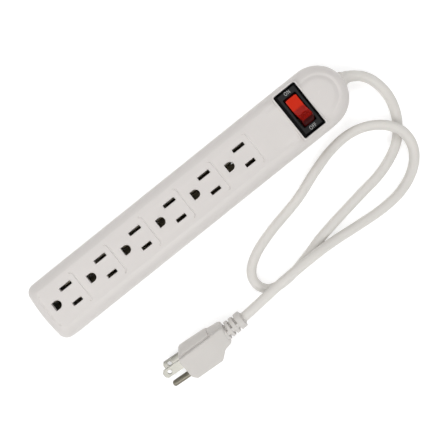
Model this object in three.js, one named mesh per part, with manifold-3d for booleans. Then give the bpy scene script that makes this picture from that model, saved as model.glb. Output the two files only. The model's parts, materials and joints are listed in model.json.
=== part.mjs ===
// A six-outlet power strip with a lit rocker switch, its mains lead and its plug.
// Millimetres, +Z up. The origin is near the middle of the housing's base; +X runs along it to the end
// where the lead leaves, and the lead and the plug lie on the -Y side.
import * as THREE from 'three';
import { mergeVertices } from 'three/addons/utils/BufferGeometryUtils.js';
import Module from 'manifold-3d';

const wasm = await Module();
wasm.setup();

// ---------- driving dimensions ----------
const GAP = 0.3; // clearance that touching pieces keep
const LEFT_X = -129.2;
const RIGHT_X = 128;
const WIDTH = 44;
const TOP_Z = 27; // socket face
const PARTING_Z = 9.5; // joint between the two covers, and the height of the lead's axis
const WALL = 2.2;
const FLOOR = 2.2;
const END_RADIUS = WIDTH / 2;
const END_CENTRE_X = RIGHT_X - END_RADIUS;
const LEFT_CORNER = 6.5;
const LEFT_BOW = 0.9; // how far the left end bulges
const TOP_INSET = 7.8; // from the outline to the edge of the flat top
const SHOULDER = { bottom: 17, draft: 0.1, slope: 0.325 }; // upright below, and sloped where it meets the top

const OUTLETS = 6;
const PITCH = 29;
const FIRST_SLOT_X = -101.9;
const BLADE_SPACING = 12.7;
const GROUND_OFFSET = 11.9; // ground pin from the line between the blades
const SLOT_WIDTH = 2.6;
const LINE_SLOT = 7.5;
const NEUTRAL_SLOT = 9.2;
const GROOVE = { width: 1.1, depth: 0.4, span: 23.8, corner: 2.4, reach: 2.7, offset: 9.3, first: -122.1 };

const SWITCH_X = 88.9;
const BEZEL = { length: 16.8, width: 33.4, top: 30.2, bottom: 27.9, bevel: 1.2 };
const COLLAR = { rim: 1, top: 29.4 };
const DOME = { start: 62, endCentre: 104.8, rise: 2, halfWidth: 14.2 };
const SWITCH_BODY = { length: 14.4, width: 30.4, bottom: 11.3, wall: 1.1 };
const PIVOT_Z = BEZEL.top - 6;
const TILT = THREE.MathUtils.degToRad(12); // the rocker leans this far each way from level
const ROCKER = { width: 9.2, reach: 12.5, top: 9.2, tip: 8.5, valley: 6.55, skirt: 3.5 };
const OPENING = { width: 10.4, reach: 12.8 };
const ARM = { pivotZ: 15.4, tilt: THREE.MathUtils.degToRad(6), half: 9.4, width: 4, thick: 0.8 };
const TERMINAL = { spacing: 8, width: 4.8, thick: 0.8, bottom: 4.5 };

const SCREW_X = [-119, -3, 112];
const SCREW_Y = 14;
const BOSS_RADIUS = 3.2;
const KEYHOLE_X = [-78, 38];
const BUS_Z = 8;
const RIB_HALF = 10.4; // ribs under the bus bars reach this far each way
const BUS_END_X = 64;

const CORD_RADIUS = 3.5;
const LEAD_RADIUS = 1.6;
const PLUG = { x: -77.2, y: -81.3, z: 9.5, yaw: 175.5, roll: -11.8, length: 36.6, reliefEnd: 51.3 };
const BLADE = { length: 14, thick: 1.5, width: 6.35, buried: 12, hole: 1.6, holeFromTip: 4.6 };
const GROUND_PIN = { radius: 2.2, length: 14.4 };

// The lead lies in loose loops on the surface; two stretches pass over an earlier one.
const CORD_ROUTE = [
  [139.6, -4.0, 8.0], [143.3, -6.7, 6.6], [147.8, -12.8, 4.7], [150.3, -21.3, 3.6], [150.3, -30.4, 3.55],
  [148.1, -38.8, 3.55],
  [143.8, -47.2, 3.55], [134.9, -57.5, 3.55], [124.2, -63.6, 3.55], [110.5, -68.0, 3.55], [90.5, -70.8, 3.55],
  [53.1, -76.6, 3.55], [36.0, -81.0, 3.55], [20.5, -84.2, 3.55], [7.6, -84.6, 3.55],
  [0.4, -82.0, 3.55], [-3.7, -76.2, 3.55], [-3.8, -69.4, 3.55], [-0.6, -64.0, 3.55], [4.4, -60.0, 3.55],
  [12.5, -55.9, 3.55], [27.1, -51.5, 3.55],
  [56.0, -45.4, 3.55], [76.4, -38.4, 3.55], [94.2, -33.6, 4.1], [110.5, -32.5, 5.8], [123.2, -35.9, 8.4],
  [133.6, -43.6, 10.7], [139.2, -52.8, 11.1], [140.8, -62.6, 8.6], [138.2, -72.0, 5.6], [130.4, -80.2, 3.9],
  [116.8, -86.2, 3.55], [99.8, -88.1, 3.55], [78.7, -86.7, 3.8], [58.0, -84.1, 6.7], [41.0, -82.7, 10.4],
  [5.4, -83.3, 11.0], [-10.5, -84.5, 10.4], [-25.7, -85.6, 9.45],
];

// ---------- solids, cuts and joins ----------
function toSolid(geometry) {
  const bare = geometry.index ? geometry.clone() : geometry;
  bare.deleteAttribute('normal');
  bare.deleteAttribute('uv');
  const merged = mergeVertices(bare, 1e-4);
  return new wasm.Manifold(new wasm.Mesh({
    numProp: 3,
    vertProperties: new Float32Array(merged.attributes.position.array),
    triVerts: new Uint32Array(merged.index.array),
  }));
}

function toGeometry(solid) {
  const mesh = solid.getMesh();
  const geometry = new THREE.BufferGeometry();
  geometry.setAttribute('position', new THREE.BufferAttribute(new Float32Array(mesh.vertProperties), 3));
  geometry.setIndex(new THREE.BufferAttribute(new Uint32Array(mesh.triVerts), 1));
  return geometry;
}

const join = (solids) => solids.reduce((whole, next) => whole.add(next));
const cut = (solid, tools) => tools.reduce((rest, tool) => rest.subtract(tool), solid);

function box(low, high) {
  const size = high.map((value, axis) => value - low[axis]);
  const geometry = new THREE.BoxGeometry(...size);
  geometry.translate(...low.map((value, axis) => value + size[axis] / 2));
  return toSolid(geometry);
}

function rod(radius, from, to, sides = 16, endRadius = radius) {
  const start = new THREE.Vector3(...from);
  const axis = new THREE.Vector3(...to).sub(start);
  const geometry = new THREE.CylinderGeometry(endRadius, radius, axis.length(), sides);
  geometry.translate(0, axis.length() / 2, 0);
  const up = new THREE.Vector3(0, 1, 0);
  geometry.applyQuaternion(new THREE.Quaternion().setFromUnitVectors(up, axis.normalize()));
  geometry.translate(...from);
  return toSolid(geometry);
}

// A flat outline in X and Y, raised from z0 to z1.
function prism(shape, z0, z1, curveSegments = 6) {
  const geometry = new THREE.ExtrudeGeometry(shape, { depth: z1 - z0, bevelEnabled: false, curveSegments });
  geometry.translate(0, 0, z0);
  return toSolid(geometry);
}

function roundedRectangle(x, y, length, width, corner) {
  const [left, right, low, high] = [x - length / 2, x + length / 2, y - width / 2, y + width / 2];
  const shape = new THREE.Shape();
  shape.moveTo(left + corner, low);
  shape.lineTo(right - corner, low);
  shape.absarc(right - corner, low + corner, corner, -Math.PI / 2, 0);
  shape.lineTo(right, high - corner);
  shape.absarc(right - corner, high - corner, corner, 0, Math.PI / 2);
  shape.lineTo(left + corner, high);
  shape.absarc(left + corner, high - corner, corner, Math.PI / 2, Math.PI);
  shape.lineTo(left, low + corner);
  shape.absarc(left + corner, low + corner, corner, Math.PI, Math.PI * 1.5);
  return shape;
}

// Skins a stack of convex rings, each with the same number of points, and closes both ends.
function loft(rings) {
  const count = rings[0].length;
  const total = (ring) => ring.reduce((sum, point) => sum.add(point), new THREE.Vector3());
  const middle = (ring) => total(ring).divideScalar(count);
  const points = [...rings.flat(), middle(rings[0]), middle(rings.at(-1))];
  const [firstCentre, lastCentre] = [points.length - 2, points.length - 1];
  const lastRing = (rings.length - 1) * count;
  const index = [];
  for (let i = 0; i < count; i += 1) {
    const j = (i + 1) % count;
    for (let base = 0; base < lastRing; base += count) {
      index.push(base + i, base + j, base + count + j);
      index.push(base + i, base + count + j, base + count + i);
    }
    index.push(j, i, firstCentre);
    index.push(lastRing + i, lastRing + j, lastCentre);
  }
  const geometry = new THREE.BufferGeometry();
  const positions = points.flatMap((point) => point.toArray());
  geometry.setAttribute('position', new THREE.Float32BufferAttribute(positions, 3));
  geometry.setIndex(index);
  return toSolid(geometry);
}

function arcPoints(x, y, radius, from, to, steps) {
  return Array.from({ length: steps + 1 }, (_, i) => {
    const angle = from + (to - from) * (i / steps);
    return new THREE.Vector2(x + radius * Math.cos(angle), y + radius * Math.sin(angle));
  });
}

// The housing's outline, drawn inset from its widest one: a round right end and a gently bowed left end.
function housingOutline(inset) {
  const half = END_RADIUS - inset;
  const corner = LEFT_CORNER - inset * 0.45;
  const left = LEFT_X + inset;
  const cornerX = left + LEFT_BOW + corner;
  const bow = [0.5, 0, -0.5].map((t) => new THREE.Vector2(left + LEFT_BOW * t * t, t * (half - corner)));
  return [
    ...arcPoints(END_CENTRE_X, 0, half, -Math.PI / 2, Math.PI / 2, 24),
    ...arcPoints(cornerX, half - corner, corner, Math.PI / 2, Math.PI, 5),
    ...bow,
    ...arcPoints(cornerX, corner - half, corner, Math.PI, Math.PI * 1.5, 5),
  ];
}

// A stack of housing outlines, one for each [height, inset].
function housingLoft(profile) {
  return loft(profile.map(([z, inset]) => housingOutline(inset).map((p) => new THREE.Vector3(p.x, p.y, z))));
}

// The shoulder as [height, inset]: a straight slope added to a quarter of an ellipse, from upright to the top.
function shoulderProfile(steps) {
  const { bottom, draft, slope } = SHOULDER;
  const across = TOP_INSET - draft;
  const drop = TOP_Z - bottom - slope * across;
  return Array.from({ length: steps + 1 }, (_, i) => {
    const angle = (Math.PI / 2) * (1 - i / steps);
    const run = across * Math.sin(angle);
    return [TOP_Z - slope * run - drop * (1 - Math.cos(angle)), TOP_INSET - run];
  });
}

// ---------- the two covers ----------
const slotX = (outlet) => FIRST_SLOT_X + PITCH * outlet;
const groundX = (outlet) => slotX(outlet) - GROUND_OFFSET;
const outlets = Array.from({ length: OUTLETS }, (_, outlet) => outlet);
const screwPlaces = SCREW_X.flatMap((x) => [-SCREW_Y, SCREW_Y].map((y) => [x, y]));

function groundHole(x) {
  const [half, flat, corner] = [3.05, -2.9, 0.7];
  const shape = new THREE.Shape();
  shape.moveTo(x + flat + corner, -half);
  shape.lineTo(x - 0.1, -half);
  shape.absarc(x - 0.1, 0, half, -Math.PI / 2, Math.PI / 2);
  shape.lineTo(x + flat + corner, half);
  shape.lineTo(x + flat, half - corner);
  shape.lineTo(x + flat, corner - half);
  return shape;
}

// A shallow groove across the socket face, with both ends turned back by a quarter round.
function groove(x, side) {
  const { width, depth, span, corner, reach } = GROOVE;
  const frame = (inset) => {
    const shape = roundedRectangle(x - side * span / 2, 0, span - 2 * inset, span - 2 * inset, corner - inset);
    return prism(shape, TOP_Z - depth, TOP_Z + 1, 4);
  };
  const end = box([x - side * reach / 2 - reach, -span, 20], [x - side * reach / 2 + reach, span, 40]);
  return frame(0).subtract(frame(width)).intersect(end);
}

// The low swelling that carries the switch: it starts gently and has a round end.
function domeSolid() {
  const profile = [[-1, 0], [0, 0.1], [0.45, 0.8], [0.8, 3], [1, 7]]; // share of the rise, inset
  return loft(profile.map(([share, inset]) => {
    const z = TOP_Z + share * DOME.rise;
    const half = DOME.halfWidth - inset;
    const left = DOME.start + half + inset * 3;
    const outline = [
      ...arcPoints(DOME.endCentre, 0, half, -Math.PI / 2, Math.PI / 2, 16),
      ...arcPoints(left, 0, half, Math.PI / 2, Math.PI * 1.5, 12),
    ];
    return outline.map((p) => new THREE.Vector3(p.x, p.y, z));
  }));
}

function topCover() {
  const outer = housingLoft([[PARTING_Z, 0], ...shoulderProfile(7)]);
  const hollow = housingLoft([
    [PARTING_Z - 1, WALL], [16.5, WALL + 0.5], [20, 3.8], [22.6, 5.7], [TOP_Z - 2.4, 8.8],
  ]);
  const seat = BEZEL.bottom - GAP;
  const collarSize = [BEZEL.length + 2 * (GAP + COLLAR.rim), BEZEL.width + 2 * (GAP + COLLAR.rim)];
  const collar = prism(roundedRectangle(SWITCH_X, 0, ...collarSize, 2), TOP_Z - 3.5, COLLAR.top, 3);
  const pocket = roundedRectangle(SWITCH_X, 0, BEZEL.length + 2 * GAP, BEZEL.width + 2 * GAP, 0.5);
  const bodyHole = [SWITCH_BODY.length / 2 + GAP, SWITCH_BODY.width / 2 + GAP];
  const bosses = screwPlaces.map(([x, y]) => rod(BOSS_RADIUS, [x, y, FLOOR + GAP], [x, y, TOP_Z - 2], 12));
  const shell = join([cut(outer, [hollow]), domeSolid().subtract(hollow), collar, join(bosses).intersect(outer)]);
  const slots = outlets.flatMap((outlet) => [
    prism(roundedRectangle(slotX(outlet), BLADE_SPACING / 2, NEUTRAL_SLOT, SLOT_WIDTH, 0.4), 20, 40, 2),
    prism(roundedRectangle(slotX(outlet), -BLADE_SPACING / 2, LINE_SLOT, SLOT_WIDTH, 0.4), 20, 40, 2),
    prism(groundHole(groundX(outlet)), 20, 40, 6),
  ]);
  return cut(shell, [
    prism(pocket, seat, 40, 3),
    box([SWITCH_X - bodyHole[0], -bodyHole[1], 15], [SWITCH_X + bodyHole[0], bodyHole[1], 40]),
    rod(5, [118, 0, PARTING_Z], [132, 0, PARTING_Z], 20),
    ...screwPlaces.map(([x, y]) => rod(1.7, [x, y, 0], [x, y, 16], 10)),
    ...slots,
    groove(GROOVE.first, -1),
    ...outlets.map((outlet) => groove(slotX(outlet) + GROOVE.offset, 1)),
  ]);
}

const LABEL = { x: -16, length: 68, width: 18, depth: 0.5, thick: 0.15 };

function bottomCover() {
  const outer = housingLoft([[0, 1], [0.4, 0.4], [1, 0.1], [PARTING_Z - GAP, 0]]);
  const hollow = housingLoft([[FLOOR, WALL + 0.4], [PARTING_Z + 1, WALL]]);
  const ribs = outlets.map((outlet) => {
    const x = slotX(outlet) + 9;
    return box([x - 0.8, -RIB_HALF, FLOOR - 0.5], [x + 0.8, RIB_HALF, BUS_Z - GAP]);
  });
  const keyholes = KEYHOLE_X.flatMap((x) => [
    rod(4.3, [x, 0, -1], [x, 0, FLOOR + 1], 20),
    box([x, -2.2, -1], [x + 8.5, 2.2, FLOOR + 1]),
    rod(2.2, [x + 8.5, 0, -1], [x + 8.5, 0, FLOOR + 1], 12),
  ]);
  return cut(join([outer.subtract(hollow), ...ribs]), [
    ...keyholes,
    ...screwPlaces.map(([x, y]) => rod(1.8, [x, y, -1], [x, y, FLOOR + 1], 12)),
    ...screwPlaces.map(([x, y]) => rod(3.5, [x, y, -1], [x, y, 1.4], 16)),
    rod(5, [118, 0, PARTING_Z], [132, 0, PARTING_Z], 20),
    prism(roundedRectangle(LABEL.x, 0, LABEL.length + 1, LABEL.width + 1, 2), -1, LABEL.depth, 3),
  ]);
}

function ratingLabel() {
  return prism(roundedRectangle(LABEL.x, 0, LABEL.length, LABEL.width, 1.6), 0.03, 0.03 + LABEL.thick, 3);
}

function housingScrew([x, y]) {
  const head = rod(3.1, [x, y, GAP], [x, y, 1.1], 16);
  const shank = rod(1.4, [x, y, 1], [x, y, 12], 10);
  const point = rod(1.4, [x, y, 12], [x, y, 13.6], 10, 0.3);
  return join([head, shank, point]);
}

// ---------- the contacts under the sockets ----------
// One strip of brass under a row of slots, with a pair of upright leaves for each socket.
function busBar(y, contactX, leafLength, leafGap, endX) {
  const thick = 0.8;
  const strip = box([contactX[0] - 6, y - 2, BUS_Z], [endX, y + 2, BUS_Z + thick]);
  const leaves = contactX.flatMap((x) => [-1, 1].map((side) => {
    const inner = y + side * leafGap;
    const [low, high] = [Math.min(inner, inner + side * 0.6), Math.max(inner, inner + side * 0.6)];
    return box([x - leafLength / 2, low, BUS_Z + 0.2], [x + leafLength / 2, high, 21]);
  }));
  const feet = contactX.map((x) => {
    const half = leafGap + 0.6;
    return box([x - leafLength / 2, y - half, BUS_Z], [x + leafLength / 2, y + half, BUS_Z + thick]);
  });
  return join([strip, ...feet, ...leaves]);
}

// ---------- the rocker switch ----------
const atSwitch = (x, y, z) => [SWITCH_X + x, y, z];

function switchHousing() {
  const { length, width, top, bottom, bevel } = BEZEL;
  const ring = (z, inset) => {
    const [a, b] = [length / 2 - inset, width / 2 - inset];
    return [[a, -b], [a, b], [-a, b], [-a, -b]].map(([x, y]) => new THREE.Vector3(SWITCH_X + x, y, z));
  };
  const bezel = loft([ring(bottom, 0), ring(top - 0.9, 0), ring(top, bevel)]);
  const half = [SWITCH_BODY.length / 2, SWITCH_BODY.width / 2];
  const underside = SWITCH_BODY.bottom;
  const body = box(atSwitch(-half[0], -half[1], underside), atSwitch(half[0], half[1], bottom + 0.5));
  const inner = half.map((value) => value - SWITCH_BODY.wall);
  const floorZ = underside + SWITCH_BODY.wall;
  const hollow = box(atSwitch(-inner[0], -inner[1], floorZ), atSwitch(inner[0], inner[1], bottom));
  const sweep = [atSwitch(-OPENING.width / 2, 0, PIVOT_Z), atSwitch(OPENING.width / 2, 0, PIVOT_Z)];
  const swing = rod(OPENING.reach, ...sweep, 48).intersect(box(atSwitch(-9, -20, 20), atSwitch(9, 20, 40)));
  const slots = [-1, 0, 1].map((step) => {
    const [y, halfSlot] = [step * TERMINAL.spacing, TERMINAL.width / 2 + GAP];
    const halfThick = TERMINAL.thick / 2 + GAP;
    return box(atSwitch(-halfSlot, y - halfThick, 5), atSwitch(halfSlot, y + halfThick, floorZ + 0.5));
  });
  const pinHole = rod(1.5, atSwitch(-10, 0, PIVOT_Z), atSwitch(10, 0, PIVOT_Z), 14);
  return cut(join([bezel, body]), [hollow, swing, pinHole, ...slots]);
}

// Drawn about its pivot and level, then turned to the pressed position at rest.
function aboutPivot(solid, tilt, z) {
  return solid.rotate([THREE.MathUtils.radToDeg(tilt), 0, 0]).translate([SWITCH_X, 0, z]);
}

function switchRocker() {
  const { width, reach, top, tip, valley, skirt } = ROCKER;
  const tipAngle = Math.atan2(tip, top);
  const skirtAngle = Math.asin(skirt / reach);
  const side = [
    ...arcPoints(0, 0, reach, skirtAngle, tipAngle, 6),
    new THREE.Vector2(0, valley),
  ];
  const underside = [[2.6, 4.6], [7.6, 6.2], [10.4, 3.3]].map(([y, z]) => new THREE.Vector2(y, z));
  const mirrored = (points) => points.map((p) => new THREE.Vector2(-p.x, p.y)).reverse();
  const outline = [
    new THREE.Vector2(2.6, -3), ...underside, ...side,
    ...mirrored(side.slice(0, -1)), ...mirrored(underside), new THREE.Vector2(-2.6, -3),
  ];
  const geometry = new THREE.ExtrudeGeometry(new THREE.Shape(outline), { depth: width, bevelEnabled: false });
  geometry.translate(0, 0, -width / 2);
  geometry.rotateX(Math.PI / 2);
  geometry.rotateZ(Math.PI / 2);
  const pins = rod(1.2, [-7, 0, 0], [7, 0, 0], 14);
  const bore = rod(1.8, [0, 0, -4], [0, 0, 4.6], 16);
  return aboutPivot(join([toSolid(geometry), pins]).subtract(bore), -TILT, PIVOT_Z);
}

function switchPlunger() {
  const stem = rod(1.5, [0, 0, -6.8], [0, 0, -0.8], 16);
  const nose = rod(0.6, [0, 0, -7.9], [0, 0, -6.8], 16, 1.5);
  return aboutPivot(join([stem, nose]), -TILT, PIVOT_Z);
}

class Helix extends THREE.Curve {
  constructor(radius, turns, height) {
    super();
    Object.assign(this, { radius, turns, height });
  }

  getPoint(t, target = new THREE.Vector3()) {
    const angle = 2 * Math.PI * this.turns * t;
    return target.set(this.radius * Math.cos(angle), this.radius * Math.sin(angle), this.height * t);
  }
}

// A closed tube along a curve.
function tube(curve, radius, steps, sides) {
  const circle = new THREE.Shape(arcPoints(0, 0, radius, 0, 2 * Math.PI, sides).slice(0, -1));
  const geometry = new THREE.ExtrudeGeometry(circle, { steps, extrudePath: curve, bevelEnabled: false });
  return toSolid(geometry);
}

const wire = (points, radius, steps, sides = 8) => tube(
  new THREE.CatmullRomCurve3(points.map((point) => new THREE.Vector3(...point)), false, 'centripetal'),
  radius, steps, sides,
);

function switchSpring() {
  const coil = tube(new Helix(1.15, 4, 3.8), 0.18, 36, 6);
  return aboutPivot(coil.translate([0, 0, -0.1]), -TILT, PIVOT_Z);
}

// A see-saw of sprung brass with a silver button under each end.
function switchContactArm() {
  const { half, width, thick, tilt, pivotZ } = ARM;
  const strip = box([-width / 2, -half, -thick / 2], [width / 2, half, thick / 2]);
  const buttons = [-TERMINAL.spacing, TERMINAL.spacing].map((y) => rod(1.4, [0, y, -1.1], [0, y, 0], 12));
  return aboutPivot(join([strip, ...buttons]), tilt, pivotZ);
}

function switchTerminal(step) {
  const y = step * TERMINAL.spacing;
  const [half, halfThick] = [TERMINAL.width / 2, TERMINAL.thick / 2];
  const top = step === 0 ? ARM.pivotZ - ARM.thick / 2 - 0.5 : 12.7;
  const blade = box(atSwitch(-half, y - halfThick, TERMINAL.bottom), atSwitch(half, y + halfThick, top));
  if (step === 0) {
    return blade;
  }
  return join([blade, box(atSwitch(-half + 0.5, y - 1.4, 12.6), atSwitch(half - 0.5, y + 1.4, 13.1))]);
}

function neonLamp() {
  const [y, z] = [10.8, 19.4];
  const glass = rod(1.6, atSwitch(-3.4, y, z), atSwitch(3, y, z), 14);
  const nose = rod(1.6, atSwitch(3, y, z), atSwitch(4.6, y, z), 14, 0.5);
  return join([glass, nose]);
}

function lampResistor() {
  const [y, z] = [12.2, 14.8];
  const body = rod(1.1, atSwitch(-2.6, y, z), atSwitch(2.6, y, z), 12);
  const legs = rod(0.35, atSwitch(-5.2, y, z), atSwitch(5.2, y, z), 8);
  return join([body, legs]);
}

// ---------- leads inside the housing ----------
const LEADS = {
  live_lead: [[112.5, 1.2, 11.6], [105, 2, 9.2], [97.5, 0.6, 7.2], [94, 0, 6.9], [91.8, 0, 6.8]],
  switched_lead: [[86, -8, 6.8], [80, -8, 6.9], [72, -7, 8.2], [68, -6.4, 8.5], [64.6, -6.35, 8.5]],
  neutral_lead: [
    [112.5, 4.6, 9.2], [105, 8.4, 8], [97, 12, 6.6], [80, 12, 6.6], [72, 8.8, 8], [68, 6.8, 8.4],
    [64.6, 6.35, 8.5],
  ],
  ground_lead: [
    [112.5, -2, 8.6], [105, -4.6, 7.6], [97, -4.1, 6.6], [82, -4, 6.6], [77.4, -1.4, 7.8], [74.8, -0.1, 8.3],
    [72.6, 0, 8.4],
  ],
};
const LAMP_LEAD = [
  [86, 8, 6.8], [80, 6.6, 4.9], [70, 5.2, 4.3], [62, 6, 4.9], [60.2, 6.35, 6.4], [60, 6.35, 7.4],
];

// ---------- the mains lead, its strain relief and its plug ----------
// Rings of a round section along a line of [x, y, z, radius] stations.
function roundLoft(stations, sides = 16) {
  const centres = stations.map(([x, y, z]) => new THREE.Vector3(x, y, z));
  const rings = stations.map(([, , , radius], i) => {
    const before = centres[Math.max(i - 1, 0)];
    const after = centres[Math.min(i + 1, centres.length - 1)];
    const along = after.clone().sub(before).normalize();
    const across = new THREE.Vector3(0, 0, 1).cross(along).normalize();
    const up = along.clone().cross(across);
    return arcPoints(0, 0, radius, 0, 2 * Math.PI, sides).slice(0, -1)
      .map((p) => centres[i].clone().addScaledVector(across, p.x).addScaledVector(up, p.y));
  });
  return loft(rings);
}

// A flange inside the wall, a neck in its hole, a ring outside it, and a tapering sleeve that follows the lead.
function cordStrainRelief() {
  const z = PARTING_Z;
  return roundLoft([
    [114, 0, z, 4.9], [118.9, 0, z, 4.9], [119.1, 0, z, 6.1], [124.2, 0, z, 6.1], [124.5, 0, z, 4.6],
    [128, 0, z, 4.6], [128.4, 0, z, 5.8], [130.5, 0, z, 5.8], [130.9, -0.2, z - 0.1, 4.7],
    [134.6, -1.2, z - 0.4, 4.6], [139, -3.6, z - 1.3, 4.1],
  ]);
}

// The moulded plug in its own frame: +X towards the blades' tips, +Y towards the ground pin, +Z from the
// neutral blade to the line blade, with the origin between the blades on the front face.
const WEDGE = Math.tan(THREE.MathUtils.degToRad(-PLUG.roll)); // each broad face slopes as the plug lies

// Across its low side stands a crowned grip, between two steps back to the broad faces.
function plugSection(back, low, high, half, crown) {
  const soft = 1.6;
  const middle = half - WEDGE * (high - low - 3);
  const upper = [
    [high, middle - soft], [high - soft, middle], [low + 0.8, half], [low, half - 0.8],
    [low - 0.3, half * 0.57], [low - 0.25 * crown - 0.3, half * 0.53], [low - 0.85 * crown, half * 0.28],
  ];
  const lower = upper.map(([y, z]) => [y, -z]).reverse();
  return [...upper, [low - crown, 0], ...lower].map(([y, z]) => new THREE.Vector3(-back, y, z));
}

function plugBody() {
  const body = loft([
    plugSection(PLUG.length, -4.8, 7.4, 6, 0.4),
    plugSection(34.4, -5.4, 9.1, 7.9, 0.9),
    plugSection(29.8, -5.3, 10.1, 8.6, 2.2),
    plugSection(24.6, -5.3, 15.5, 9.7, 3.4),
    plugSection(22.6, -5.2, 16.2, 9.9, 3.7),
    plugSection(5, -4.4, 16.2, 10.2, 5.2),
    plugSection(3.2, -4.3, 16, 10.2, 4),
    plugSection(0, -3.8, 13, 9.2, 0.4),
  ]);
  const ribs = [[PLUG.length - 1, 37.4], [38.6, 41.2], [42.5, 45.4], [46.8, PLUG.reliefEnd - 0.1]];
  const axisY = (back) => 1.5 - 0.088 * (back - PLUG.length);
  const sleeve = ribs.flatMap(([from, to]) => [[from, 4.4], [from + 0.3, 6.1], [to - 0.3, 6.1], [to, 4.4]]);
  const stations = [[PLUG.length - 3, 4.4], ...sleeve, [PLUG.reliefEnd, 4.2]];
  const relief = roundLoft(stations.map(([back, radius]) => [-back, axisY(back), 0, radius]), 14);
  const pockets = [-1, 1].map((side) => {
    const [halfY, halfZ, z] = [BLADE.width / 2 + GAP, BLADE.thick / 2 + GAP, (side * BLADE_SPACING) / 2];
    return box([-BLADE.buried - GAP, -halfY, z - halfZ], [5, halfY, z + halfZ]);
  });
  const pinEnds = [[-BLADE.buried - GAP, GROUND_OFFSET, 0], [5, GROUND_OFFSET, 0]];
  const pinHole = rod(GROUND_PIN.radius + GAP, ...pinEnds, 16);
  return cut(join([body, relief]), [...pockets, pinHole]);
}

function plugBlade(side) {
  const z = (side * BLADE_SPACING) / 2;
  const [half, nose] = [BLADE.width / 2, BLADE.width / 2 - 1.3];
  const shape = new THREE.Shape([
    [-BLADE.buried, -half], [BLADE.length - 2, -half], [BLADE.length, -nose],
    [BLADE.length, nose], [BLADE.length - 2, half], [-BLADE.buried, half],
  ].map(([x, y]) => new THREE.Vector2(x, y)));
  const holeX = BLADE.length - BLADE.holeFromTip;
  const hole = rod(BLADE.hole, [holeX, 0, -10], [holeX, 0, 10], 14);
  return prism(shape, z - BLADE.thick / 2, z + BLADE.thick / 2).subtract(hole);
}

function plugGroundPin() {
  const { radius, length } = GROUND_PIN;
  const y = GROUND_OFFSET;
  const shank = rod(radius, [-BLADE.buried, y, 0], [length - 1.6, y, 0], 16);
  const nose = rod(radius, [length - 1.6, y, 0], [length, y, 0], 16, 1.3);
  return join([shank, nose]);
}

// ---------- the assembly ----------
const finishes = {
  plastic: { color: 0xe3dfda, roughness: 0.42, metalness: 0 },
  lead: { color: 0xdad7ce, roughness: 0.5, metalness: 0 },
  black: { color: 0x1c1c1e, roughness: 0.35, metalness: 0 },
  red: { color: 0xc81e10, roughness: 0.25, metalness: 0 },
  brass: { color: 0xb98f45, roughness: 0.35, metalness: 1 },
  nickel: { color: 0xc9c7bf, roughness: 0.3, metalness: 1 },
  steel: { color: 0x9a9a98, roughness: 0.35, metalness: 1 },
  glass: { color: 0xf0c9a0, roughness: 0.1, metalness: 0 },
  label: { color: 0xc6c8ca, roughness: 0.5, metalness: 0 },
  resistor: { color: 0xb98a5e, roughness: 0.6, metalness: 0 },
  leadBlack: { color: 0x202022, roughness: 0.5, metalness: 0 },
  leadWhite: { color: 0xe9e8e4, roughness: 0.5, metalness: 0 },
  leadGreen: { color: 0x1f7a3a, roughness: 0.5, metalness: 0 },
};

function piece(name, solid, finish) {
  const mesh = new THREE.Mesh(toGeometry(solid), new THREE.MeshStandardMaterial(finishes[finish]));
  mesh.name = name;
  return mesh;
}

const strip = new THREE.Group();
strip.add(piece('top_cover', topCover(), 'plastic'));
strip.add(piece('bottom_cover', bottomCover(), 'plastic'));
strip.add(piece('rating_label', ratingLabel(), 'label'));
screwPlaces.forEach((place, i) => strip.add(piece(`housing_screw_${i + 1}`, housingScrew(place), 'steel')));

const bladeX = outlets.map(slotX);
strip.add(piece('line_bus_bar', busBar(-BLADE_SPACING / 2, bladeX, 7, 1, BUS_END_X), 'brass'));
strip.add(piece('neutral_bus_bar', busBar(BLADE_SPACING / 2, bladeX, 8, 1, BUS_END_X), 'brass'));
strip.add(piece('ground_bus_bar', busBar(0, outlets.map(groundX), 5.4, 2.5, 72), 'brass'));

strip.add(piece('switch_housing', switchHousing(), 'black'));
strip.add(piece('switch_rocker', switchRocker(), 'red'));
strip.add(piece('switch_plunger', switchPlunger(), 'label'));
strip.add(piece('switch_spring', switchSpring(), 'steel'));
strip.add(piece('switch_contact_arm', switchContactArm(), 'brass'));
strip.add(piece('load_terminal', switchTerminal(-1), 'brass'));
strip.add(piece('line_terminal', switchTerminal(0), 'brass'));
strip.add(piece('lamp_terminal', switchTerminal(1), 'brass'));
strip.add(piece('neon_lamp', neonLamp(), 'glass'));
strip.add(piece('lamp_resistor', lampResistor(), 'resistor'));

const leadFinish = {
  live_lead: 'leadBlack', switched_lead: 'leadBlack', neutral_lead: 'leadWhite', ground_lead: 'leadGreen',
};
Object.entries(LEADS).forEach(([name, route]) => {
  strip.add(piece(name, wire(route, LEAD_RADIUS, 14), leadFinish[name]));
});
strip.add(piece('lamp_lead', wire(LAMP_LEAD, 0.9, 14, 6), 'leadWhite'));

strip.add(piece('cord_strain_relief', cordStrainRelief(), 'lead'));
strip.add(piece('power_cord', wire(CORD_ROUTE, CORD_RADIUS, 80, 12), 'lead'));

const plug = new THREE.Group();
plug.position.set(PLUG.x, PLUG.y, PLUG.z);
plug.rotation.set(THREE.MathUtils.degToRad(PLUG.roll), 0, THREE.MathUtils.degToRad(PLUG.yaw), 'ZYX');
plug.add(piece('plug_body', plugBody(), 'plastic'));
plug.add(piece('plug_line_blade', plugBlade(1), 'nickel'));
plug.add(piece('plug_neutral_blade', plugBlade(-1), 'nickel'));
plug.add(piece('plug_ground_pin', plugGroundPin(), 'brass'));
strip.add(plug);

export default strip;
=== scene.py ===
"""The looks of a six-outlet power strip, its mains lead and its plug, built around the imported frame.

Shapes are drawn in millimetres in the part's own frame and turned into metres when they become objects.
"""

import json
import math

import bmesh
import bpy
from mathutils import Euler, Matrix, Vector


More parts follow.
